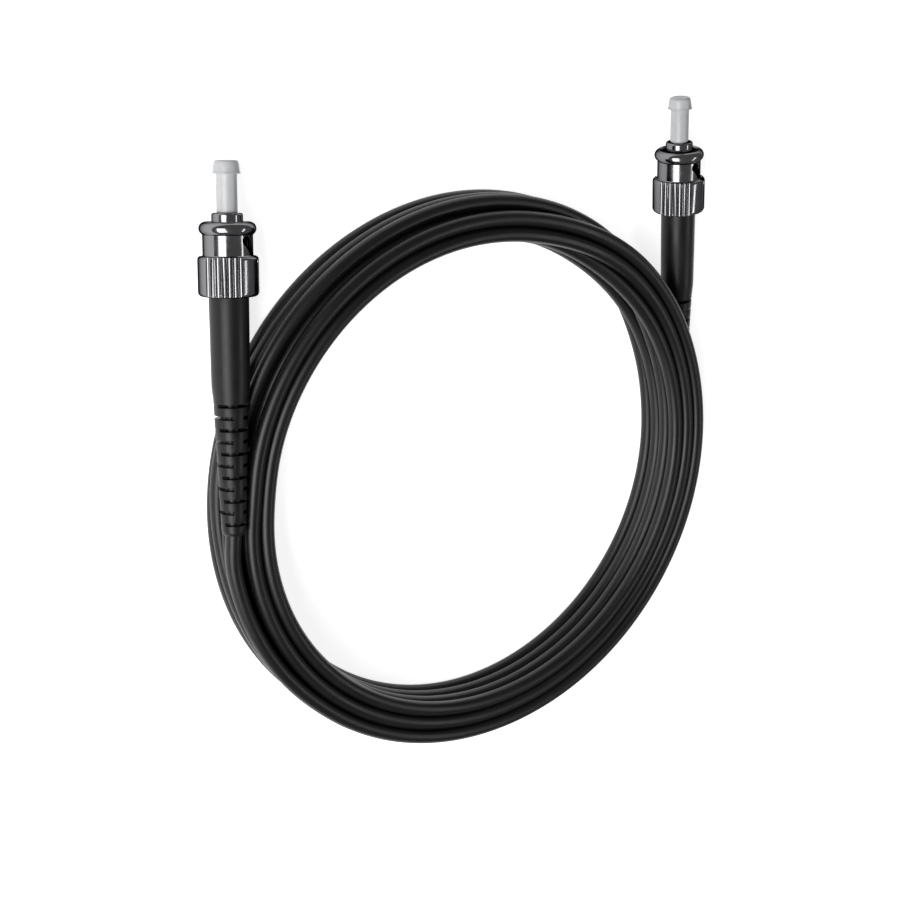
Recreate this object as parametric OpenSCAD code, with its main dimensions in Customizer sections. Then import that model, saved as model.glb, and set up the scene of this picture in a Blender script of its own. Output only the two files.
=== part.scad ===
// Simplex fibre optic patch lead: two ST bayonet connectors on one coiled cable.
// Units: mm. Z is up, the lead lies on the plane z = 0, the ferrules point to +Y.
// Each connector is modelled along its own axis, from the boot's tail (0) to the
// ferrule tip (+Z), and is then laid beside the coil.

/* [Cable] */
// Outer diameter of the cable jacket
cable_d = 2.8; // [2.4:0.1:3.0]
// Clear diameter inside the coil
coil_bore_d = 88.2; // [80:0.2:96]
// Columns of cable across the coil
coil_columns = 3; // [2:1:4]
// Rows of cable up the coil
coil_rows = 4; // [3:1:5]
// Diameter of the buffered fibre inside the connector
fibre_d = 0.9; // [0.6:0.1:1.0]

/* [Boot] */
// Length of the boot
boot_len = 40.8; // [36:0.2:48]
// Diameter where the boot leaves the coupling nut
boot_head_d = 6.6; // [6.2:0.1:6.8]
// Diameter at the end of the smooth grip
boot_grip_d = 6.36; // [5.8:0.02:6.6]
// Length of the slotted, tapering tail
boot_tail_len = 24.2; // [20:0.2:27]
// Diameter at the first slot
boot_slot_d = 5.84; // [5.2:0.02:6.2]
// Diameter at the cable end
boot_end_d = 4.1; // [3.9:0.05:4.6]
// Slots in the tail
slot_count = 11; // [7:2:11]
// Distance from slot to slot
slot_pitch = 2.01; // [1.6:0.01:2.1]
// Width of one slot
slot_w = 0.45; // [0.3:0.05:0.7]
// Thickness of the web that joins the rings
slot_web = 1.5; // [1.0:0.1:1.8]

/* [Coupling nut] */
// Diameter over the knurl
knurl_d = 10; // [9.6:0.1:11]
// Length of the knurled skirt
knurl_len = 6.6; // [6:0.1:9]
// Diameter of the smooth front
nut_front_d = 8.25; // [8.15:0.05:8.8]
// Length of the smooth front, up to the middle of the bead
nut_front_len = 4.4; // [3.6:0.1:5]
// Diameter over the front bead
bead_d = 9.4; // [9:0.1:10]
// Radius of the bead's section
bead_r = 1.1; // [1.0:0.05:1.5]
// Bore that takes the socket of the adapter
nut_bore_d = 7.2; // [7.0:0.05:7.4]
// Groups of grip ribs round the skirt
rib_groups = 3; // [2:1:4]
// Grooves in each group
groove_count = 7; // [3:1:7]
// Angle from groove to groove
groove_step = 10.4; // [8:0.1:11]
// Radius of the cutter that makes a groove
groove_r = 0.44; // [0.3:0.02:0.5]
// Depth of a groove
groove_depth = 0.3; // [0.15:0.05:0.35]
// Diameter of the round seat at the end of a bayonet slot
bayonet_seat_d = 1.9; // [1.5:0.1:2.2]
// Width of a bayonet slot
bayonet_slot_w = 1.6; // [1.2:0.1:1.8]
// Slope of a bayonet slot
bayonet_slope = 38; // [25:1:50]
// Angle from the middle of a rib group to a bayonet slot
bayonet_turn = 68; // [30:1:90]

/* [Plug body] */
// Diameter of the barrel
barrel_d = 5.12; // [4.9:0.02:5.3]
// How far the barrel stands out of the nut
barrel_out = 1.4; // [0.6:0.1:1.6]
// Diameter of the spring flange
flange_d = 6.4; // [6.1:0.1:6.8]
// Thickness of the spring flange
flange_t = 1.0; // [0.6:0.1:1.4]
// Diameter of the stem
stem_d = 3.4; // [3.2:0.1:3.5]
// Width of the alignment key
key_w = 1.0; // [0.8:0.1:1.2]
// Length of the crimp stem behind the retaining ring
crimp_len = 6.4; // [5:0.2:8]

/* [Ferrule and dust cap] */
// Ferrule diameter
ferrule_d = 2.5; // [2.5]
// Ferrule length
ferrule_len = 15; // [13:0.2:16]
// How far the ferrule stands out of the barrel
ferrule_out = 7.0; // [6:0.1:8]
// Outer diameter of the dust cap tube
cap_tube_d = 3.45; // [3.3:0.05:3.8]
// Diameter of the dust cap's head
cap_head_d = 4.62; // [4.2:0.02:5]
// Diameter of the top of the head
cap_top_d = 3.5; // [3.2:0.05:3.8]
// Height of the dust cap's head
cap_head_len = 2.2; // [1.6:0.1:2.6]
// Plastic beyond the ferrule's tip
cap_end_t = 1.4; // [0.8:0.05:1.6]

/* [Spring and rings] */
// Wire diameter of the spring
spring_wire = 0.4; // [0.3:0.05:0.5]
// Mean diameter of the spring
spring_d = 4.9; // [4.6:0.1:5.4]
// Turns of the spring
spring_turns = 4; // [3:1:5]
// Travel of the nut against the spring
nut_travel = 1.8; // [1.2:0.1:1.8]
// Outer diameter of the thrust washer
washer_d = 6.6; // [6.2:0.1:6.8]
// Thickness of the thrust washer
washer_t = 0.4; // [0.3:0.05:0.6]
// Thickness of the nut's inner shoulder
shoulder_t = 0.9; // [0.7:0.1:1.2]
// Outer diameter of the retaining ring
ring_d = 5.2; // [4.6:0.1:6.0]
// Thickness of the retaining ring
ring_t = 0.5; // [0.4:0.05:0.6]
// Depth of the groove for the retaining ring
groove_in = 0.25; // [0.2:0.05:0.4]
// Outer diameter of the crimp sleeve
sleeve_d = 4.3; // [4.1:0.05:4.5]
// Length of the crimp sleeve
sleeve_len = 5.6; // [4.6:0.1:7]

/* [Fits] */
// Radial clearance of a part that runs or slides
run_gap = 0.05; // [0.03:0.01:0.08]
// Radial clearance of a glued, pressed or crimped part
seat_gap = 0.02; // [0.01:0.01:0.04]
// Clearance between faces that must not touch
face_gap = 0.05; // [0.03:0.01:0.1]

/* [Lay] */
// Direction round the coil where the near cable leaves it
near_exit = 184; // [182:1:188]
// Turn of the near connector from the Y axis
near_yaw = 0; // [-3:0.5:3]
// Height of the near boot's tail above a cable on the coil's top row
near_lift = 0.6; // [0.4:0.1:1.2]
// Direction round the coil where the far cable leaves it
far_exit = 10; // [6:1:14]
// Turn of the far connector from the Y axis
far_yaw = -9.5; // [-12:0.5:-6]
// Gap under the far boot's tail
far_lift = 0.5; // [0.3:0.1:1]
// How far round the near cable stays on top of the outer column
top_turn = 252; // [190:2:260]
// Turn of the near coupling nut
near_nut_spin = -121; // [-180:1:180]
// Turn of the far coupling nut
far_nut_spin = -134; // [-180:1:180]
// Turn of the boots' slots
near_boot_spin = -88; // [-180:1:180]
// Turn of the far boot's slots
far_boot_spin = -101; // [-180:1:180]

/* [Hidden] */
$fn = 64;
eps = 0.01;

// Stations along the connector's axis, from the cable end of the boot
boot_out = boot_len - 0.8;
nut_rear = boot_out;
skirt_front = nut_rear + knurl_len;
bead_z = skirt_front + nut_front_len;
nut_face = bead_z + bead_r;
barrel_face = nut_face + barrel_out;
ring_z = boot_len + 0.5;
shoulder_z = ring_z + ring_t + face_gap;
washer_z = shoulder_z + shoulder_t;
spring_z = washer_z + washer_t;
// The spring's room: its closed turns, the nut's travel and some air
spring_len = spring_turns * spring_wire + nut_travel + 0.4;
flange_z = spring_z + spring_len;
stem_end = ring_z - 0.3 - crimp_len;
ferrule_z = barrel_face + ferrule_out - ferrule_len;
ferrule_tip = barrel_face + ferrule_out;
cap_z = barrel_face + face_gap;
cap_top = ferrule_tip + face_gap + cap_end_t;
sleeve_z = stem_end + 0.4;
jacket_end = stem_end - 0.4;
first_slot = boot_tail_len - 2.7;
boot_bore_d = cable_d + 2 * seat_gap;

// Coil and lay
coil_r0 = coil_bore_d / 2 + cable_d / 2;
coil_r1 = coil_r0 + (coil_columns - 1) * cable_d;
coil_h = coil_rows * cable_d;
coil_x = 1.93;
coil_y = -33.18;
near_tail_r = coil_r1 + 0.5;
near_tail_z = coil_h - cable_d / 2 + near_lift;
far_tail_r = coil_r1 + 0.4;
far_tail_z = boot_end_d / 2 + far_lift;
// A circle of radius r, l ahead of a tail at height z, rests on the plane at this dip
function dip(z, l, r) = asin(z / sqrt(l * l + r * r)) - atan2(r, l);
near_dip = dip(near_tail_z, bead_z, bead_d / 2);
far_dip = dip(far_tail_z, nut_rear + 0.7, knurl_d / 2);
near_pos = [coil_x + near_tail_r * cos(near_exit), coil_y + near_tail_r * sin(near_exit), near_tail_z];
far_pos = [coil_x + far_tail_r * cos(far_exit), coil_y + far_tail_r * sin(far_exit), far_tail_z];

module at_near() translate(near_pos) rotate([-90 - near_dip, 0, -near_yaw]) children();
module at_far() translate(far_pos) rotate([-90 - far_dip, 0, -far_yaw]) children();

// Quarter arc about (cx, cy) from angle a to angle b, in steps
function arc(cx, cy, r, a, b, n = 6) =
    [for (i = [0:n]) [cx + r * cos(a + (b - a) * i / n), cy + r * sin(a + (b - a) * i / n)]];

module ring(d_out, d_in, h, z = 0) {
    translate([0, 0, z]) difference() {
        cylinder(d = d_out, h = h);
        translate([0, 0, -eps]) cylinder(d = d_in, h = h + 2 * eps);
    }
}

// ---- Dust cap: thin tube with a tapered head, closed at the tip
module dust_cap() color("#E6E9EC") {
    head_z = cap_top - cap_head_len;
    bore_r = ferrule_d / 2 + run_gap;
    difference() {
        rotate_extrude() polygon(concat(
            [[0, cap_z], [cap_tube_d / 2 - 0.1, cap_z], [cap_tube_d / 2, cap_z + 0.15],
                [cap_tube_d / 2, head_z + 0.12], [cap_head_d / 2 - 0.1, head_z],
                [cap_head_d / 2, head_z + 0.06], [cap_head_d / 2, head_z + 0.2],
                [cap_head_d / 2 - 0.14, head_z + 0.32]],
            arc(cap_top_d / 2 - 0.28, cap_top - 0.35, 0.35, 15, 90, 5),
            [[cap_top_d / 2 - 0.5, cap_top - 0.06], [0, cap_top - 0.06]]));
        translate([0, 0, cap_z - eps]) cylinder(r = bore_r, h = ferrule_tip + face_gap - cap_z + eps);
        // Lead-in at the mouth
        translate([0, 0, cap_z - eps]) cylinder(r1 = bore_r + 0.15, r2 = bore_r, h = 0.2);
    }
}

// ---- Ferrule: ceramic cylinder with a domed, chamfered tip and the fibre's hole
module ferrule() color("#F4F2EC") {
    r = ferrule_d / 2;
    difference() {
        rotate_extrude() polygon(concat(
            [[0, ferrule_z], [r - 0.15, ferrule_z], [r, ferrule_z + 0.2], [r, ferrule_tip - 0.35],
                [r - 0.3, ferrule_tip - 0.06]],
            [[0.35, ferrule_tip], [0, ferrule_tip]]));
        translate([0, 0, ferrule_z - eps]) cylinder(d1 = 0.95, d2 = 0.14, h = 0.9);
        cylinder(d = 0.14, h = ferrule_tip + 1, $fn = 16);
    }
}

// ---- Plug body: barrel with key, spring flange, stem, ring groove, crimp stem
module plug_body() color("#C9CCD0") {
    r = barrel_d / 2;
    difference() {
        union() {
            rotate_extrude() polygon(concat(
                [[0, stem_end], [stem_d / 2 - 0.25, stem_end], [stem_d / 2, stem_end + 0.25],
                    [stem_d / 2, ring_z - face_gap / 2], [stem_d / 2 - groove_in, ring_z - face_gap / 2],
                    [stem_d / 2 - groove_in, ring_z + ring_t + face_gap / 2],
                    [stem_d / 2, ring_z + ring_t + face_gap / 2],
                    [stem_d / 2, flange_z], [flange_d / 2 - 0.12, flange_z],
                    [flange_d / 2, flange_z + 0.12], [flange_d / 2, flange_z + flange_t - 0.12],
                    [flange_d / 2 - 0.12, flange_z + flange_t], [r, flange_z + flange_t]],
                arc(r - 0.35, barrel_face - 0.35, 0.35, 0, 90),
                [[0, barrel_face]]));
            // Alignment key on the barrel
            rotate([0, 0, 60]) translate([0, -key_w / 2, flange_z + flange_t - eps])
                cube([flange_d / 2 - 0.05, key_w, nut_face - 2 - flange_z - flange_t]);
        }
        // Seat of the ferrule, with a countersunk mouth
        translate([0, 0, ferrule_z]) cylinder(r = ferrule_d / 2 + seat_gap, h = barrel_face);
        translate([0, 0, barrel_face - 0.25])
            cylinder(r1 = ferrule_d / 2 + seat_gap, r2 = ferrule_d / 2 + 0.6, h = 0.25 + eps);
        // Way for the fibre
        translate([0, 0, stem_end - 1]) cylinder(d = fibre_d + 0.3, h = ferrule_z - stem_end + 1 + eps);
        // Grip rings of the crimp stem
        for (i = [0:4]) ring(stem_d + 1, stem_d - 0.24, 0.35, stem_end + 0.9 + i * 0.8);
    }
}

// ---- Coupling nut: bead, smooth front with two bayonet slots, knurled skirt
module bayonet_slot() {
    // Cut outwards through the wall: round seat, then the ramp that runs back under the skirt
    reach = nut_front_d / 2 + 0.03;
    seat_z = bead_z - bead_r - bayonet_seat_d / 2 + 0.05;
    translate([0, 0, seat_z]) rotate([0, 90, 0]) {
        cylinder(d = bayonet_seat_d, h = reach, $fn = 48);
        rotate([0, 0, bayonet_slope]) translate([0, -bayonet_slot_w / 2, 0]) cube([3.6, bayonet_slot_w, reach]);
        rotate([0, 0, bayonet_slope]) translate([3.6, 0, 0]) cylinder(d = bayonet_slot_w, h = reach, $fn = 48);
    }
}

module coupling_nut() color("#BFC3C8") {
    kr = knurl_d / 2;
    fr = nut_front_d / 2;
    br = nut_bore_d / 2;
    difference() {
        union() {
            rotate_extrude() polygon(concat(
                [[0, nut_rear], [kr - 0.9, nut_rear]],
                arc(kr - 0.75, nut_rear + 0.75, 0.75, -80, 0, 6),
                arc(kr - 0.6, skirt_front - 0.6, 0.6, 0, 80, 5),
                [[fr + 0.1, skirt_front], [fr, skirt_front + 0.1], [fr, bead_z], [0, bead_z]]));
            rotate_extrude() polygon(concat([[0, bead_z - bead_r]],
                arc(bead_d / 2 - bead_r, bead_z, bead_r, -90, 90, 16), [[0, nut_face]]));
        }
        // Bore for the adapter's socket, the shoulder that the spring loads, the boot's recess
        translate([0, 0, washer_z]) cylinder(r = br, h = nut_face);
        translate([0, 0, nut_face - 0.3]) cylinder(r1 = br, r2 = br + 0.3, h = 0.3 + eps);
        translate([0, 0, nut_rear - 1]) cylinder(d = stem_d + 2 * run_gap + 0.06, h = nut_face);
        translate([0, 0, nut_rear - eps]) cylinder(r = br, h = shoulder_z - nut_rear + eps);
        // Grip grooves, in groups with smooth lands between
        for (g = [0:rib_groups - 1], i = [0:groove_count - 1])
            rotate([0, 0, g * 360 / rib_groups + (i - (groove_count - 1) / 2) * groove_step])
                translate([kr + groove_r - groove_depth, 0, nut_rear - eps])
                    cylinder(r = groove_r, h = knurl_len + 2 * eps, $fn = 24);
        for (a = [0, 180]) rotate([0, 0, bayonet_turn + a]) bayonet_slot();
    }
}

// ---- Spring: a plain coil between the plug body's flange and the washer
module spring() color("#A9ADB2") {
    r = spring_d / 2;
    w = spring_wire / 2;
    rise = spring_len - spring_wire - 2 * face_gap;
    sides = 6;
    steps = spring_turns * 14;
    pts = [for (i = [0:steps], j = [0:sides - 1])
        let (a = 360 * spring_turns * i / steps, b = 360 * j / sides)
        [(r + w * cos(b)) * cos(a), (r + w * cos(b)) * sin(a),
            spring_z + face_gap + w + rise * i / steps + w * sin(b)]];
    polyhedron(pts, tube_faces(steps + 1, sides), convexity = 8);
}

// Faces of a tube of rings, with both ends closed
function tube_faces(rings, n) = concat(
    [[for (j = [0:n - 1]) j]],
    [for (i = [0:rings - 2], j = [0:n - 1])
        [i * n + j, (i + 1) * n + j, (i + 1) * n + (j + 1) % n, i * n + (j + 1) % n]],
    [[for (j = [n - 1:-1:0]) (rings - 1) * n + j]]);

// ---- Thrust washer between the spring and the nut's shoulder
module thrust_washer() color("#B4B8BC")
    ring(washer_d, stem_d + 2 * run_gap, washer_t - face_gap, washer_z + face_gap / 2);

// ---- Retaining ring: open C in the stem's groove
module retaining_ring() color("#8F9499") difference() {
    ring(ring_d, stem_d - 2 * groove_in + 2 * seat_gap, ring_t, ring_z);
    translate([0, -stem_d * 0.38, ring_z - 1]) cube([ring_d, stem_d * 0.76, ring_t + 2]);
}

// ---- Crimp sleeve over the stem, with its rear mouth drawn in on the cable
module crimp_sleeve() color("#B08D4A") difference() {
    rotate_extrude() polygon([[0, sleeve_z], [sleeve_d / 2 - 0.15, sleeve_z], [sleeve_d / 2, sleeve_z + 0.15],
        [sleeve_d / 2, sleeve_z + sleeve_len - 0.15], [sleeve_d / 2 - 0.15, sleeve_z + sleeve_len], [0, sleeve_z + sleeve_len]]);
    translate([0, 0, sleeve_z - 1]) cylinder(d = stem_d + 2 * seat_gap, h = sleeve_len + 2);
}

// ---- Buffered fibre from the cable's cut jacket to the ferrule
module fibre() color("#F2E7B8")
    translate([0, 0, jacket_end]) cylinder(d = fibre_d, h = ferrule_z - jacket_end);

// ---- Boot: smooth grip, then a tapering tail cut by slots from both sides in turn
module boot() color("#161616") {
    end_r = boot_end_d / 2;
    difference() {
        rotate_extrude() polygon(concat(
            [[0, 0], [end_r - 0.35, 0], [end_r - 0.03, 0.6], [end_r, 0.8]],
            [for (i = [0:5]) [boot_slot_d / 2 + (boot_grip_d - boot_slot_d) / 2 * sin(18 * i),
                first_slot + 0.8 + i * 0.62]],
            [[boot_head_d / 2, boot_out - 0.6], [boot_head_d / 2, boot_len - 0.2],
                [boot_head_d / 2 - 0.2, boot_len], [0, boot_len]]));
        translate([0, 0, -1]) cylinder(d = boot_bore_d, h = boot_len + 2);
        // Room for the stem's end and the crimp sleeve
        translate([0, 0, stem_end - face_gap]) cylinder(d = sleeve_d + 2 * seat_gap, h = boot_len);
        for (i = [0:slot_count - 1])
            translate([0, 0, first_slot - i * slot_pitch]) rotate([0, 0, 90 * (i % 2)])
                for (s = [0, 180]) rotate([0, 0, s])
                    translate([slot_web / 2, -boot_head_d / 2, -slot_w / 2]) cube([boot_head_d, boot_head_d, slot_w]);
    }
}

// ---- Cable: the tails inside the boots and the coil
// Points of the near tail past the boot, and of the far one, in the plan of the lead
near_run = [[-49.5, -41.6, 9.9], [-48.5, -46.0, 9.8]];
far_run = [[53.0, -28.6, 1.9], [53.0, -33.0, 1.5]];

function on_axis(pos, dip, yaw, z) = pos + z * [sin(yaw) * cos(dip), cos(yaw) * cos(dip), -sin(dip)];
function unit(v) = v / norm(v);
// Direction of a path at point i
function along(p, i) = unit(p[min(i + 1, len(p) - 1)] - p[max(i - 1, 0)]);
module cord(path) {
    n = 8;
    r = cable_d / 2;
    pts = [for (i = [0:len(path) - 1])
        let (t = along(path, i), u = unit(cross(t, [0, 0, 1])), v = cross(t, u))
        for (j = [0:n - 1]) path[i] + r * cos(360 * j / n) * u + r * sin(360 * j / n) * v];
    polyhedron(pts, tube_faces(len(path), n), convexity = 6);
}

module near_cable_tail() color("#1B1B1B")
    cord(concat([for (z = [jacket_end, jacket_end / 2, 0]) on_axis(near_pos, near_dip, near_yaw, z)], near_run));
module far_cable_tail() color("#1B1B1B")
    cord(concat([for (z = [jacket_end, jacket_end / 2, 0]) on_axis(far_pos, far_dip, far_yaw, z)], far_run));

// Room that the strands leave for a boot
module boot_room() {
    gap = 0.3;
    translate([0, 0, -4]) cylinder(d = boot_end_d + 2 * gap, h = 4 + eps);
    cylinder(d1 = boot_end_d + 2 * gap, d2 = boot_slot_d + 2 * gap + 0.2, h = first_slot + eps);
    translate([0, 0, first_slot]) cylinder(d = boot_grip_d + 2 * gap, h = boot_out - first_slot);
}

module cable_coil() color("#1B1B1B") translate([coil_x, coil_y, 0]) {
    r_in = coil_r0 - cable_d / 2;
    r_mid = coil_r1 - cable_d / 2;
    r_out = coil_r1 + cable_d / 2;
    e = cable_d * 0.3;
    difference() {
        union() {
            // Outer column one row lower, where the near cable has left it
            rotate_extrude($fn = 96) polygon([[r_in, e], [r_in + e, 0], [r_out - e, 0], [r_out, e],
                [r_out, coil_h - cable_d - e], [r_out - e, coil_h - cable_d], [r_mid, coil_h - cable_d],
                [r_mid, coil_h - e], [r_mid - e, coil_h], [r_in + e, coil_h], [r_in, coil_h - e]]);
            // The near cable's first stretch, on top of the outer column
            rotate([0, 0, near_exit]) rotate_extrude(angle = top_turn, $fn = 96)
                polygon([[r_mid - e, coil_h - cable_d - e], [r_out - e, coil_h - cable_d - e], [r_out, coil_h - cable_d + e],
                    [r_out, coil_h - e], [r_out - e, coil_h], [r_mid - e, coil_h]]);
        }
        translate([-coil_x, -coil_y, 0]) {
            at_near() boot_room();
            at_far() boot_room();
        }
    }
}

module turned(a) rotate([0, 0, a]) children();

at_near() dust_cap();  // near_dust_cap
at_near() ferrule();  // near_ferrule
at_near() plug_body();  // near_plug_body
at_near() turned(near_nut_spin) coupling_nut();  // near_coupling_nut
at_near() spring();  // near_spring
at_near() thrust_washer();  // near_thrust_washer
at_near() retaining_ring();  // near_retaining_ring
at_near() crimp_sleeve();  // near_crimp_sleeve
at_near() fibre();  // near_fibre
at_near() turned(near_boot_spin) boot();  // near_boot
at_far() dust_cap();  // far_dust_cap
at_far() ferrule();  // far_ferrule
at_far() plug_body();  // far_plug_body
at_far() turned(far_nut_spin) coupling_nut();  // far_coupling_nut
at_far() spring();  // far_spring
at_far() thrust_washer();  // far_thrust_washer
at_far() retaining_ring();  // far_retaining_ring
at_far() crimp_sleeve();  // far_crimp_sleeve
at_far() fibre();  // far_fibre
at_far() turned(far_boot_spin) boot();  // far_boot
near_cable_tail();
cable_coil();
far_cable_tail();
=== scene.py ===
# Fibre patch lead: a black cord wound as a flat coil, with a capped bayonet plug on each end
import math

import bpy
import numpy as np
from mathutils import Matrix, Vector


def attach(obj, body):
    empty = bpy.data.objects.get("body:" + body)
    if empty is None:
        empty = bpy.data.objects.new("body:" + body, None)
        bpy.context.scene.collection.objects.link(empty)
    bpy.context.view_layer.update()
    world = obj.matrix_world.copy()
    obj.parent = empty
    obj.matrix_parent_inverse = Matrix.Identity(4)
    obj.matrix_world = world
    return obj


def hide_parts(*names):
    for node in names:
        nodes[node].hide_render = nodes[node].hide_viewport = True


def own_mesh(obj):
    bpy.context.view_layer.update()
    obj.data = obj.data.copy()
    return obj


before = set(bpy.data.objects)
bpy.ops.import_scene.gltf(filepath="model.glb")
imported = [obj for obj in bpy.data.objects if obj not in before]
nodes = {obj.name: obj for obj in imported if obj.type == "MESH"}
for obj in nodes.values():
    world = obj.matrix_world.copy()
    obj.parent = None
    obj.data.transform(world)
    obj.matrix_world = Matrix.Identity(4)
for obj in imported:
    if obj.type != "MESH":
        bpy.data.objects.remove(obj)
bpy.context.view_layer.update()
mm = 0.001
print("loaded", len(nodes), "CAD nodes")


# ---- helpers
def toLinear(hexColour):
    parts = [int(hexColour[i : i + 2], 16) / 255 for i in (1, 3, 5)]
    return tuple(c / 12.92 if c <= 0.04045 else ((c + 0.055) / 1.055) ** 2.4 for c in parts) + (1,)


def addNode(tree, kind, settings={}, links={}):
    node = tree.nodes.new(kind)
    for name, value in settings.items():
        if isinstance(name, int) or name in node.inputs:
            node.inputs[name].default_value = value
        else:
            setattr(node, name, value)
    for name, source in links.items():
        tree.links.new(source, node.inputs[name])
    return node


# ---- camera
camera = {
    "at": (-162.73, 53.711, 241.575),
    "turn": (-18.47, -32.81, 4.44),  # degrees about X, Y and Z
    "lens": 64.25,
}


def makeCamera():
    bpy.ops.object.camera_add(
        location=Vector(camera["at"]) * mm, rotation=[math.radians(a) for a in camera["turn"]]
    )
    lens = bpy.context.object
    lens.name = "studioCamera"
    lens.data.lens = camera["lens"]
    lens.data.clip_start = 0.01
    lens.data.clip_end = 20
    bpy.context.scene.camera = lens
    print("camera set")


makeCamera()

# ---- cord
# One cord from plug to plug, wound in three columns of up to four rows. A slot is a column and a
# row. Each turn starts on the left, runs through the near side, and moves on to the next slot in
# one stretch at the back right: inwards along the top row, outwards along the next, and so on down.
cord = {
    "diameter": 2.8,
    "centre": (1.93, -33.18),
    "columns": {"I": 45.6, "M": 48.3, "O": 50.95},  # drawn in a little, so that the turns lie tight
    "rows": {"1": 1.4, "2": 4.15, "3": 6.9, "4": 9.65},
    "leftSlots": "O4 M4 I4 I3 M3 O3 O2 I2 I1 M1 O1".split(),
    "rightSlots": "O4 M4 I4 I3 M3 O3 M2 I2 I1 M1 O1".split(),
    # where each turn starts to move over, in degrees round the coil, and for how far
    "nearMove": {6: (322, 24)},
    "backMove": [(406, 36), (406, 36), (398, 34), (390, 34), (390, 34), (384, 28), (412, 30), (400, 30), (388, 30), (388, 30)],
    "step": 5,
    "wave": 0.06,
    "length": 3.30,
    "leaves": 200,  # degrees, where the near end's cord has reached its slot
    "ends": 355,  # degrees, where the far end's cord leaves its slot
}
nearPlug = {
    "tail": (-49.5443, -36.7794, 10.4),
    "axis": (0, 0.993669, -0.112348),
    "run": [(-49.5, -41.6, 9.9), (-48.5, -46.0, 9.8)],
}
farPlug = {
    "tail": (52.6476, -24.2371, 2.55),
    "axis": (-0.164750, 0.984510, 0.059975),
    "run": [(53.0, -28.6, 1.9), (53.0, -33.0, 1.5)],
}
jacketEnd = 34.2  # mm from the boot's tail to the end of the jacket inside it


def onAxis(plug, z):
    return Vector(plug["tail"]) + z * Vector(plug["axis"])


def slotPlace(slot):
    return np.array((cord["columns"][slot[0]], cord["rows"][slot[1]]))


def easeStep(t):
    t = min(max(t, 0), 1)
    return t * t * (3 - 2 * t)


def slotPath(turn, angle):
    left, right = slotPlace(cord["leftSlots"][turn]), slotPlace(cord["rightSlots"][turn])
    start, width = cord["nearMove"].get(turn, (300, 20))
    place = left + (right - left) * easeStep((angle - start) / width)
    if turn < 10:
        after = slotPlace(cord["leftSlots"][turn + 1])
        start, width = cord["backMove"][turn]
        place = place + (after - right) * easeStep((angle - start) / width)
    return place


def bootsAt(angle):
    # the boots' sections in the half plane at this angle round the coil
    a = math.radians(angle)
    out, across = Vector((math.cos(a), math.sin(a), 0)), Vector((-math.sin(a), math.cos(a), 0))
    found = []
    for plug in (nearPlug, farPlug):
        tail, axis = Vector(plug["tail"]) - Vector((*cord["centre"], 0)), Vector(plug["axis"])
        z = -tail.dot(across) / axis.dot(across) if abs(axis.dot(across)) > 0.3 else 99
        hit = tail + z * axis
        if -2 < z < 41 and hit.dot(out) > 0:
            found.append((hit.dot(out), hit.z, (2.05 + 0.87 * min(max(z, 0) / 21.5, 1)) + 0.15))
    return found


def layCord():
    # the turns in their slots, then pushed apart and smoothed over 160 sweeps
    perTurn = 360 // cord["step"]
    first = (cord["leaves"] - 180) // cord["step"]
    last = 10 * perTurn + (cord["ends"] - 180) // cord["step"]
    count = 11 * perTurn
    angles = [180 + cord["step"] * (i % perTurn) for i in range(count)]
    goal = np.array([slotPath(i // perTurn, angle) for i, angle in enumerate(angles)])
    turn = np.arange(count) / perTurn * 2 * math.pi
    goal[:, 0] += cord["wave"] * np.sin(2.17 * turn)
    goal[:, 1] += cord["wave"] * 0.5 * np.sin(3.31 * turn)
    place = goal.copy()
    boots = [bootsAt(cord["step"] * k + 180) for k in range(perTurn)]
    used = np.zeros(count, bool)
    used[first : last + 1] = True
    d = cord["diameter"]
    for sweep in range(160):
        middle = (place[:-2] + place[2:]) / 2
        place[1:-1] += 0.3 * (middle - place[1:-1])
        place += 0.04 * (goal - place)
        for gap in range(1, 11):
            # pairs that cross the same half plane, and the same pairs one turn's seam later
            a, b = place[: count - gap * perTurn], place[gap * perTurn :]
            live = used[: count - gap * perTurn] & used[gap * perTurn :]
            apart = a - b
            far = np.maximum(np.hypot(apart[:, 0], apart[:, 1]), 1e-6)
            push = np.where(live & (far < d), (d - far) / far * 0.3, 0)[:, None] * apart
            place[: count - gap * perTurn] += push
            place[gap * perTurn :] -= push
        for k in range(perTurn):
            for r, z, radius in boots[k]:
                for i in range(k, count, perTurn):
                    if used[i]:
                        away = place[i] - (r, z)
                        far = max(float(np.hypot(*away)), 1e-6)
                        if far < radius + d / 2:
                            place[i] += away * (radius + d / 2 - far) / far * 0.6
        place[:, 1] = np.maximum(place[:, 1], d / 2)
    points = []
    for i in range(first, last + 1):
        r, z = place[i]
        if i < first + 6:
            r += 0.9 * (first + 6 - i) / 6
        a = math.radians(angles[i])
        points.append(Vector((cord["centre"][0] + r * math.cos(a), cord["centre"][1] + r * math.sin(a), z)))
    return points


def cordPoints():
    points = [onAxis(nearPlug, jacketEnd * (1 - i / 8)) for i in range(9)]
    points += [Vector(p) for p in nearPlug["run"]]
    points += layCord()
    points += [Vector(p) for p in reversed(farPlug["run"])]
    points += [onAxis(farPlug, jacketEnd * i / 8) for i in range(9)]
    return points


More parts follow.
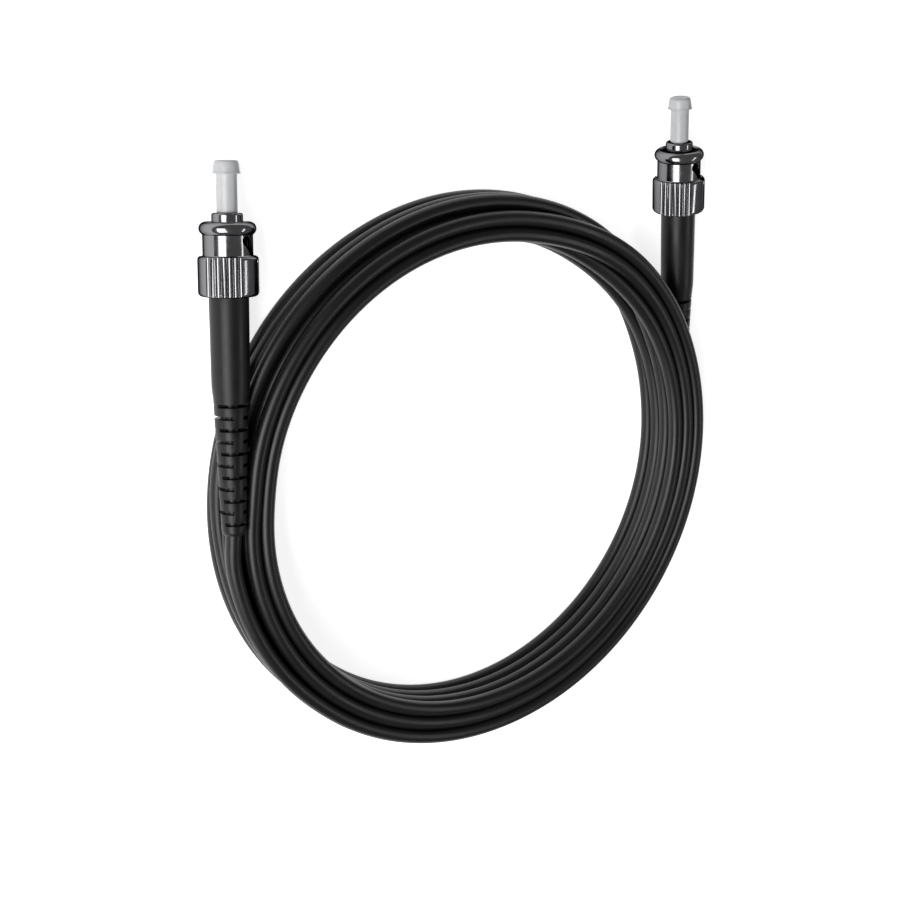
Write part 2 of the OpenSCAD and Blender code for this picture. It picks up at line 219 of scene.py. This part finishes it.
def makeCord():
    points = cordPoints()
    data = bpy.data.curves.new("cordLine", "CURVE")
    data.dimensions = "3D"
    line = data.splines.new("NURBS")
    line.points.add(len(points) - 1)
    for spot, p in zip(line.points, points):
        spot.co = (*(p * mm), 1)
    line.order_u = 4
    line.use_endpoint_u = True
    line.resolution_u = 3
    data.bevel_depth = cord["diameter"] / 2 * mm
    data.bevel_resolution = 5
    data.use_fill_caps = True
    obj = bpy.data.objects.new("patch_cord", data)
    bpy.context.collection.objects.link(obj)
    bpy.ops.object.select_all(action="DESELECT")
    bpy.context.view_layer.objects.active = obj
    obj.select_set(True)
    bpy.ops.object.convert(target="MESH")
    obj = bpy.context.object
    bpy.ops.object.shade_smooth()
    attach(obj, "lead")
    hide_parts("near_cable_tail", "cable_coil", "far_cable_tail")
    length = sum((b - a).length for a, b in zip(points, points[1:]))
    print("cord", len(points), "points", round(length), "mm")
    return obj


cordPiece = makeCord()


# ---- plug pieces
# Each is made along Z, from the boot's tail at 0 to the cap at 62 mm, then copied into place
plugs = {
    "near": {"tail": nearPlug["tail"], "dip": 6.4507, "yaw": 0, "bootSpin": -88, "nutSpin": -125},
    "far": {"tail": farPlug["tail"], "dip": -3.4384, "yaw": -9.5, "bootSpin": -101, "nutSpin": -139},
}
boot = {
    "profile": [(0, 1.7), (0.25, 1.92), (0.6, 2.02), (0.9, 2.06), (10, 2.45), (22.6, 2.94), (23.1, 2.96), (23.7, 3.03), (24.3, 3.1),
                (25.0, 3.16), (25.8, 3.19), (32, 3.24), (40.2, 3.3), (40.6, 3.28), (40.8, 3.1)],
    "bore": [(-1, 1.42), (34.55, 1.42), (34.55, 2.17), (42, 2.17)],
    "firstSlot": 22.1,
    "pitch": 2.01,
    "slots": 11,
    "slotWidth": 0.6,
    "web": 1.5,
    "edge": 0.09,
}
nut = {
    "rear": 40.0,
    "skirt": 46.6,
    "radius": 5.0,
    "frontRadius": 4.125,
    "beadAt": 51.0,
    "beadRadius": 1.1,
    "beadCentre": 3.6,
    "bore": [(39, 3.6), (41.85, 3.6), (41.85, 1.78), (42.75, 1.78), (42.75, 3.6), (51.8, 3.6), (52.1, 3.9), (53, 3.9)],
    "grooves": 7,
    "grooveStep": 10.4,
    "grooveRadius": 0.44,
    "grooveDepth": 0.32,
    "seat": 1.75,
    "rampWidth": 1.4,
    "rampSlope": 38,
    "rampRun": 3.6,
    "bayonetTurn": 57,
    "edge": 0.07,
}
cap = {
    "profile": [(53.55, 1.6), (53.7, 1.725), (59.55, 1.725), (59.7, 1.78), (59.78, 2.2), (59.84, 2.31), (59.98, 2.3), (60.1, 2.2),
                (60.7, 2.13), (61.5, 2.02), (61.72, 1.93), (61.86, 1.78), (61.93, 1.55), (61.94, 1.3), (61.88, 1.05)],
    "bore": [(53, 1.4), (53.55, 1.4), (53.75, 1.27), (60.3, 1.27), (60.55, 1.0)],
}


def turned(name, profile, sides=64):
    # a disc drawn out along Z and scaled at each station
    z, r = profile[0]
    bpy.ops.object.select_all(action="DESELECT")
    bpy.ops.mesh.primitive_circle_add(vertices=sides, radius=r * mm, fill_type="NGON", location=(0, 0, z * mm))
    piece = bpy.context.object
    piece.name = name
    bpy.ops.object.transform_apply(location=True, rotation=False, scale=False)
    bpy.ops.object.mode_set(mode="EDIT")
    bpy.ops.mesh.select_all(action="SELECT")
    for (z, r), (nextZ, nextR) in zip(profile, profile[1:]):
        bpy.ops.mesh.extrude_region_move(TRANSFORM_OT_translate={"value": (0, 0, (nextZ - z) * mm)})
        k = nextR / r
        bpy.ops.transform.resize(value=(k, k, 1), center_override=(0, 0, nextZ * mm))
    bpy.ops.mesh.select_all(action="SELECT")
    bpy.ops.mesh.normals_make_consistent(inside=False)
    bpy.ops.object.mode_set(mode="OBJECT")
    return piece


def copyAt(piece, matrix, name="cutter"):
    data = piece.data.copy()
    data.transform(matrix)
    other = bpy.data.objects.new(name, data)
    bpy.context.collection.objects.link(other)
    return other


def joined(pieces):
    bpy.ops.object.select_all(action="DESELECT")
    for piece in pieces:
        piece.select_set(True)
    bpy.context.view_layer.objects.active = pieces[0]
    bpy.ops.object.join()
    return bpy.context.object


def combine(piece, tool, operation="DIFFERENCE"):
    fit = piece.modifiers.new("fit", "BOOLEAN")
    fit.operation = operation
    fit.object = tool
    fit.solver = "EXACT"
    bpy.context.view_layer.objects.active = piece
    bpy.ops.object.modifier_apply(modifier="fit")
    bpy.data.objects.remove(tool)


def softenEdges(piece, width):
    bpy.ops.object.select_all(action="DESELECT")
    piece.select_set(True)
    bpy.context.view_layer.objects.active = piece
    if width:
        edge = piece.modifiers.new("edge", "BEVEL")
        edge.width = width * mm
        edge.segments = 2
        edge.limit_method = "ANGLE"
        edge.angle_limit = math.radians(38)
        bpy.ops.object.modifier_apply(modifier="edge")
    bpy.ops.object.shade_smooth_by_angle(angle=math.radians(32))


def about(axis, degrees):
    return Matrix.Rotation(math.radians(degrees), 4, axis)


def makeBoot():
    piece = turned("bootForm", boot["profile"])
    combine(piece, turned("bore", boot["bore"], 32))
    # one slot's cutter, its inner edge rounded, then a pair for every slot, alternately crossed
    bpy.ops.object.select_all(action="DESELECT")
    w = boot["slotWidth"]
    bpy.ops.mesh.primitive_cube_add(size=1, location=((boot["web"] / 2 + 2) * mm, 0, 0), scale=(4 * mm, 8 * mm, w * mm))
    blade = bpy.context.object
    bpy.ops.object.transform_apply(location=True, rotation=False, scale=True)
    bpy.ops.object.mode_set(mode="EDIT")
    bpy.ops.mesh.select_all(action="SELECT")
    bpy.ops.mesh.bevel(offset=w * 0.3 * mm, segments=3)
    bpy.ops.object.mode_set(mode="OBJECT")
    blades = []
    for i in range(boot["slots"]):
        for side in (0, 180):
            place = Matrix.Translation((0, 0, (boot["firstSlot"] - i * boot["pitch"]) * mm)) @ about("Z", 90 * (i % 2) + side)
            blades.append(copyAt(blade, place))
    bpy.data.objects.remove(blade)
    combine(piece, joined(blades))
    softenEdges(piece, boot["edge"])
    return piece


def makeNut():
    r, rear, skirt, front = nut["radius"], nut["rear"], nut["skirt"], nut["frontRadius"]
    profile = [(rear, r - 0.8)]
    profile += [(rear + 0.75 + 0.75 * math.sin(math.radians(a)), r - 0.75 + 0.75 * math.cos(math.radians(a))) for a in range(-75, 1, 15)]
    profile += [(skirt - 0.6 + 0.6 * math.sin(math.radians(a)), r - 0.6 + 0.6 * math.cos(math.radians(a))) for a in range(0, 76, 15)]
    profile += [(skirt, front + 0.12), (skirt + 0.12, front), (nut["beadAt"] - 1.02, front)]
    for a in range(-48, 91, 12):
        bend = math.radians(a)
        profile.append((nut["beadAt"] + nut["beadRadius"] * math.sin(bend), nut["beadCentre"] + nut["beadRadius"] * math.cos(bend)))
    piece = turned("nutForm", profile, 96)
    combine(piece, turned("bore", nut["bore"], 64))
    # three groups of grip grooves
    groove = turned("groove", [(rear - 1, nut["grooveRadius"]), (skirt + 1, nut["grooveRadius"])], 20)
    out = Matrix.Translation(((r + nut["grooveRadius"] - nut["grooveDepth"]) * mm, 0, 0))
    cutters = []
    for group in range(3):
        for i in range(nut["grooves"]):
            cutters.append(copyAt(groove, about("Z", group * 120 + (i - (nut["grooves"] - 1) / 2) * nut["grooveStep"]) @ out))
    bpy.data.objects.remove(groove)
    combine(piece, joined(cutters))
    # bayonet slots: a round seat and a ramp that runs back to the skirt
    seatZ = nut["beadAt"] - nut["beadRadius"] - nut["seat"] / 2 + 0.05
    slot = turned("seat", [(2.2, nut["seat"] / 2), (4.6, nut["seat"] / 2)], 40)
    bpy.ops.object.select_all(action="DESELECT")
    run, w = nut["rampRun"], nut["rampWidth"]
    bpy.ops.mesh.primitive_cube_add(size=1, location=(run / 2 * mm, 0, 3.4 * mm), scale=(run * mm, w * mm, 2.4 * mm))
    ramp = bpy.context.object
    bpy.ops.object.transform_apply(location=True, rotation=False, scale=True)
    ramp.data.transform(about("Z", nut["rampSlope"]))
    ends = turned("rampEnd", [(2.2, w / 2), (4.6, w / 2)], 40)
    ends.data.transform(about("Z", nut["rampSlope"]) @ Matrix.Translation((run * mm, 0, 0)))
    combine(slot, ramp, "UNION")
    combine(slot, ends, "UNION")
    slot.data.transform(Matrix.Translation((0, 0, seatZ * mm)) @ about("Y", 90))
    for side in (0, 180):
        combine(piece, copyAt(slot, about("Z", nut["bayonetTurn"] + side)))
    bpy.data.objects.remove(slot)
    softenEdges(piece, nut["edge"])
    return piece


def makeCap():
    piece = turned("capForm", cap["profile"], 48)
    combine(piece, turned("bore", cap["bore"], 48))
    softenEdges(piece, 0)
    return piece


def placePlugPieces():
    made = {}
    for part, form in {"boot": makeBoot(), "coupling_nut": makeNut(), "dust_cap": makeCap()}.items():
        for end, plug in plugs.items():
            spin = {"boot": plug["bootSpin"], "coupling_nut": plug["nutSpin"], "dust_cap": 0}[part]
            place = Matrix.Translation(Vector(plug["tail"]) * mm) @ about("Z", -plug["yaw"]) @ about("X", -90 - plug["dip"]) @ about("Z", spin)
            name = {"boot": "strain_boot", "coupling_nut": "bayonet_nut", "dust_cap": "moulded_cap"}[part]
            piece = copyAt(form, place, end + "_" + name)
            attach(piece, {"boot": "lead", "coupling_nut": end + "_nut", "dust_cap": end + "_cap"}[part])
            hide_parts(end + "_" + part)
            made[end + "_" + part] = piece
        bpy.data.objects.remove(form)
    print("plug pieces", {name: len(piece.data.polygons) for name, piece in made.items()})
    return made


plugPieces = placePlugPieces()


def makeSpring(end, axis):
    # the imported coil, merged and shaded smooth
    piece = copyAt(nodes[end + "_spring"], Matrix.Identity(4), end + "_coil_spring")
    bpy.ops.object.select_all(action="DESELECT")
    piece.select_set(True)
    bpy.context.view_layer.objects.active = piece
    bpy.ops.object.mode_set(mode="EDIT")
    bpy.ops.mesh.select_all(action="SELECT")
    bpy.ops.mesh.remove_doubles(threshold=0.001 * mm)
    bpy.ops.object.mode_set(mode="OBJECT")
    bpy.ops.object.shade_smooth_by_angle(angle=math.radians(60))
    axis = Vector(axis)
    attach(piece, "lead")
    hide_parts(end + "_spring")
    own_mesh(piece)
    return piece


for end, plug in {"near": nearPlug, "far": farPlug}.items():
    plugPieces[end + "_spring"] = makeSpring(end, plug["axis"])


# ---- finishes
def startMaterial(name):
    material = bpy.data.materials.new(name)
    material.use_nodes = True
    tree = material.node_tree
    tree.nodes.clear()
    return material, tree


def finishMaterial(tree, settings, links):
    shader = addNode(tree, "ShaderNodeBsdfPrincipled", settings, links)
    addNode(tree, "ShaderNodeOutputMaterial", {}, {"Surface": shader.outputs["BSDF"]})


# Nickel plate over turned brass, barrel polished: a dark mirror with faint turning marks, its
# faces painted darker towards their edges: painted shade for the dark surroundings they reflect
nickel = {
    "colour": "#7C7C7E",
    # dark edge tint: painted shade at the faces' edges
    "paintedEdgeShade": "#3A3A3C",
    "roughness": (0.10, 0.20),
    "hazeSize": 3.0,  # mm, patches of handling haze
    "markSize": 0.05,  # mm, turning marks, twice as wide as real so that they show
    "markDepth": 0.0006,  # mm
}


def nickelPlate():
    material, tree = startMaterial("polished nickel plate on brass")
    place = addNode(tree, "ShaderNodeTexCoord")
    haze = addNode(
        tree, "ShaderNodeTexNoise", {"Scale": 1 / (nickel["hazeSize"] * mm), "Detail": 3}, {"Vector": place.outputs["Object"]}
    )
    rough = addNode(
        tree,
        "ShaderNodeMapRange",
        {"From Min": 0.35, "From Max": 0.65, "To Min": nickel["roughness"][0], "To Max": nickel["roughness"][1]},
        {"Value": haze.outputs["Fac"]},
    )
    marks = addNode(
        tree, "ShaderNodeTexNoise", {"Scale": 1 / (nickel["markSize"] * mm), "Detail": 2}, {"Vector": place.outputs["Object"]}
    )
    bump = addNode(tree, "ShaderNodeBump", {"Distance": nickel["markDepth"] * mm}, {"Height": marks.outputs["Fac"]})
    finishMaterial(
        tree,
        {"Base Color": toLinear(nickel["colour"]), "Metallic": 1.0, "Specular Tint": toLinear(nickel["paintedEdgeShade"])},
        {"Roughness": rough.outputs["Result"], "Normal": bump.outputs["Normal"]},
    )
    return material


# Extruded black PVC jacket: satin, with a fine even grain and slow changes of gloss along it
jacket = {
    "colours": ("#070708", "#0F0F10"),
    "roughness": (0.32, 0.44),
    "specular": 0.36,
    "glossSize": 14,  # mm
    "grainSize": 0.18,  # mm, the die's grain
    "grainDepth": 0.006,  # mm
}
# Moulded thermoplastic elastomer: deeper black and a little duller than the jacket
elastomer = {
    "colours": ("#060607", "#0C0C0D"),
    "roughness": (0.36, 0.48),
    "specular": 0.32,
    "glossSize": 6,
    "grainSize": 0.15,
    "grainDepth": 0.005,
}


def blackPlastic(name, finish):
    material, tree = startMaterial(name)
    place = addNode(tree, "ShaderNodeTexCoord")
    gloss = addNode(
        tree, "ShaderNodeTexNoise", {"Scale": 1 / (finish["glossSize"] * mm), "Detail": 3}, {"Vector": place.outputs["Object"]}
    )
    colour = addNode(tree, "ShaderNodeMix", {"data_type": "RGBA"}, {"Factor": gloss.outputs["Fac"]})
    colour.inputs[6].default_value = toLinear(finish["colours"][0])
    colour.inputs[7].default_value = toLinear(finish["colours"][1])
    rough = addNode(
        tree,
        "ShaderNodeMapRange",
        {"From Min": 0.3, "From Max": 0.7, "To Min": finish["roughness"][0], "To Max": finish["roughness"][1]},
        {"Value": gloss.outputs["Fac"]},
    )
    grain = addNode(
        tree, "ShaderNodeTexNoise", {"Scale": 1 / (finish["grainSize"] * mm), "Detail": 2}, {"Vector": place.outputs["Object"]}
    )
    bump = addNode(tree, "ShaderNodeBump", {"Distance": finish["grainDepth"] * mm}, {"Height": grain.outputs["Fac"]})
    finishMaterial(
        tree,
        {"Specular IOR Level": finish["specular"]},
        {"Base Color": colour.outputs[2], "Roughness": rough.outputs["Result"], "Normal": bump.outputs["Normal"]},
    )
    return material


# Natural low density polyethylene: milky, lets light through without showing what is inside
capPlastic = {
    "colours": ("#C6C7C9", "#D9DADB"),
    "roughness": (0.3, 0.42),
    "transmission": 0.25,
    "milkSize": 2.5,  # mm
    "milkDepth": 0.004,  # mm
}


def milkyPlastic():
    material, tree = startMaterial("moulded natural polyethylene")
    place = addNode(tree, "ShaderNodeTexCoord")
    milk = addNode(
        tree, "ShaderNodeTexNoise", {"Scale": 1 / (capPlastic["milkSize"] * mm), "Detail": 2}, {"Vector": place.outputs["Object"]}
    )
    colour = addNode(tree, "ShaderNodeMix", {"data_type": "RGBA"}, {"Factor": milk.outputs["Fac"]})
    colour.inputs[6].default_value = toLinear(capPlastic["colours"][0])
    colour.inputs[7].default_value = toLinear(capPlastic["colours"][1])
    rough = addNode(
        tree,
        "ShaderNodeMapRange",
        {"To Min": capPlastic["roughness"][0], "To Max": capPlastic["roughness"][1]},
        {"Value": milk.outputs["Fac"]},
    )
    bump = addNode(tree, "ShaderNodeBump", {"Distance": capPlastic["milkDepth"] * mm}, {"Height": milk.outputs["Fac"]})
    finishMaterial(
        tree,
        {"IOR": 1.51, "Transmission Weight": capPlastic["transmission"]},
        {"Base Color": colour.outputs[2], "Roughness": rough.outputs["Result"], "Normal": bump.outputs["Normal"]},
    )
    return material


# The small inner pieces: one noise each, for the grain that their making leaves
innerFinishes = {
    # ground and polished zirconia: warm white, hard and smooth
    "ferrule": {"name": "polished zirconia", "colour": "#F1EEE6", "metallic": 0.0, "roughness": 0.14, "grain": 0.08, "depth": 0.0004},
    # drawn spring steel: bright, with fine draw lines
    "spring": {"name": "drawn spring steel", "colour": "#9D9FA2", "metallic": 1.0, "roughness": 0.28, "grain": 0.06, "depth": 0.001},
    # rolled brass of the crimp sleeve, annealed: soft satin
    "sleeve": {"name": "annealed brass", "colour": "#B79A60", "metallic": 1.0, "roughness": 0.34, "grain": 0.1, "depth": 0.001},
    # tight buffer on the fibre: pale yellow, smooth
    "buffer": {"name": "extruded buffer nylon", "colour": "#E6D9A8", "metallic": 0.0, "roughness": 0.35, "grain": 0.12, "depth": 0.001},
}


def innerMaterial(finish):
    material, tree = startMaterial(finish["name"])
    place = addNode(tree, "ShaderNodeTexCoord")
    grain = addNode(
        tree, "ShaderNodeTexNoise", {"Scale": 1 / (finish["grain"] * mm), "Detail": 2}, {"Vector": place.outputs["Object"]}
    )
    rough = addNode(
        tree,
        "ShaderNodeMapRange",
        {"To Min": finish["roughness"] - 0.05, "To Max": finish["roughness"] + 0.08},
        {"Value": grain.outputs["Fac"]},
    )
    bump = addNode(tree, "ShaderNodeBump", {"Distance": finish["depth"] * mm}, {"Height": grain.outputs["Fac"]})
    finishMaterial(
        tree,
        {"Base Color": toLinear(finish["colour"]), "Metallic": finish["metallic"]},
        {"Roughness": rough.outputs["Result"], "Normal": bump.outputs["Normal"]},
    )
    return material


finishes = {
    "nickel": nickelPlate(),
    "jacket": blackPlastic("extruded black PVC jacket", jacket),
    "elastomer": blackPlastic("moulded black elastomer", elastomer),
    "cap": milkyPlastic(),
}
for key, finish in innerFinishes.items():
    finishes[key] = innerMaterial(finish)
wears = {
    "dust_cap": "cap",
    "ferrule": "ferrule",
    "plug_body": "nickel",
    "coupling_nut": "nickel",
    "spring": "spring",
    "thrust_washer": "spring",
    "retaining_ring": "spring",
    "crimp_sleeve": "sleeve",
    "fibre": "buffer",
    "boot": "elastomer",
}


def dress(piece, key):
    piece.data.materials.clear()
    piece.data.materials.append(finishes[key])


for end in ("near", "far"):
    for part, key in wears.items():
        dress(nodes[end + "_" + part], key)
for name, piece in plugPieces.items():
    dress(piece, wears[name.split("_", 1)[1]])
dress(cordPiece, "jacket")
print("finishes on", len(wears) * 2 + 1, "pieces")


# ---- floor and light
studio = {
    "card": "#E8E8E8",
    "cardGlow": 0.8,  # how much of the card's white the camera and reflections see unlit
    "sky": 0.04,
    "skyGlow": 0.18,  # how much brighter the sky is in reflections
    # name: (place, what it points at, length along Y, breadth, power), in metres and watts
    "lamps": {
        "keySoftbox": ((-0.40, -0.10, 0.32), (0, -0.01, 0), 0.62, 0.30, 3.6),
        "fillStrip": ((0.46, -0.09, 0.56), (0, -0.02, 0), 0.55, 0.08, 0.8),
    },
}


def makeFloor():
    bpy.ops.object.select_all(action="DESELECT")
    bpy.ops.mesh.primitive_plane_add(size=3)
    floor = bpy.context.object
    floor.name = "studioFloor"
    material, tree = startMaterial("matt white card")
    path = addNode(tree, "ShaderNodeLightPath")
    seen = addNode(
        tree, "ShaderNodeMath", {"operation": "ADD", "use_clamp": True}, {0: path.outputs["Is Camera Ray"], 1: path.outputs["Is Glossy Ray"]}
    )
    seen = addNode(
        tree, "ShaderNodeMath", {"operation": "ADD", "use_clamp": True}, {0: seen.outputs[0], 1: path.outputs["Is Transmission Ray"]}
    )
    glow = addNode(tree, "ShaderNodeMath", {"operation": "MULTIPLY", 1: studio["cardGlow"]}, {0: seen.outputs[0]})
    light = addNode(tree, "ShaderNodeEmission", {}, {"Strength": glow.outputs[0]})
    card = addNode(tree, "ShaderNodeBsdfDiffuse", {"Color": toLinear(studio["card"])})
    both = addNode(tree, "ShaderNodeAddShader", {}, {0: card.outputs[0], 1: light.outputs[0]})
    addNode(tree, "ShaderNodeOutputMaterial", {}, {"Surface": both.outputs[0]})
    floor.data.materials.append(material)


def makeLights():
    world = bpy.data.worlds.new("studioSky")
    bpy.context.scene.world = world
    world.use_nodes = True
    tree = world.node_tree
    path = addNode(tree, "ShaderNodeLightPath")
    glow = addNode(tree, "ShaderNodeMath", {"operation": "MULTIPLY", 1: studio["skyGlow"]}, {0: path.outputs["Is Glossy Ray"]})
    bright = addNode(tree, "ShaderNodeMath", {"operation": "ADD", 1: studio["sky"]}, {0: glow.outputs[0]})
    tree.links.new(bright.outputs[0], tree.nodes["Background"].inputs["Strength"])
    tree.nodes["Background"].inputs["Color"].default_value = (1, 1, 1, 1)
    for name, (place, aim, length, breadth, power) in studio["lamps"].items():
        bpy.ops.object.light_add(type="AREA", location=place)
        lamp = bpy.context.object
        lamp.name = name
        lamp.data.shape = "RECTANGLE"
        lamp.data.size = length
        lamp.data.size_y = breadth
        lamp.data.energy = power
        lamp.rotation_euler = (Vector(aim) - Vector(place)).to_track_quat("-Z", "Y").to_euler()


makeFloor()
makeLights()
bpy.context.scene.view_settings.view_transform = "Standard"
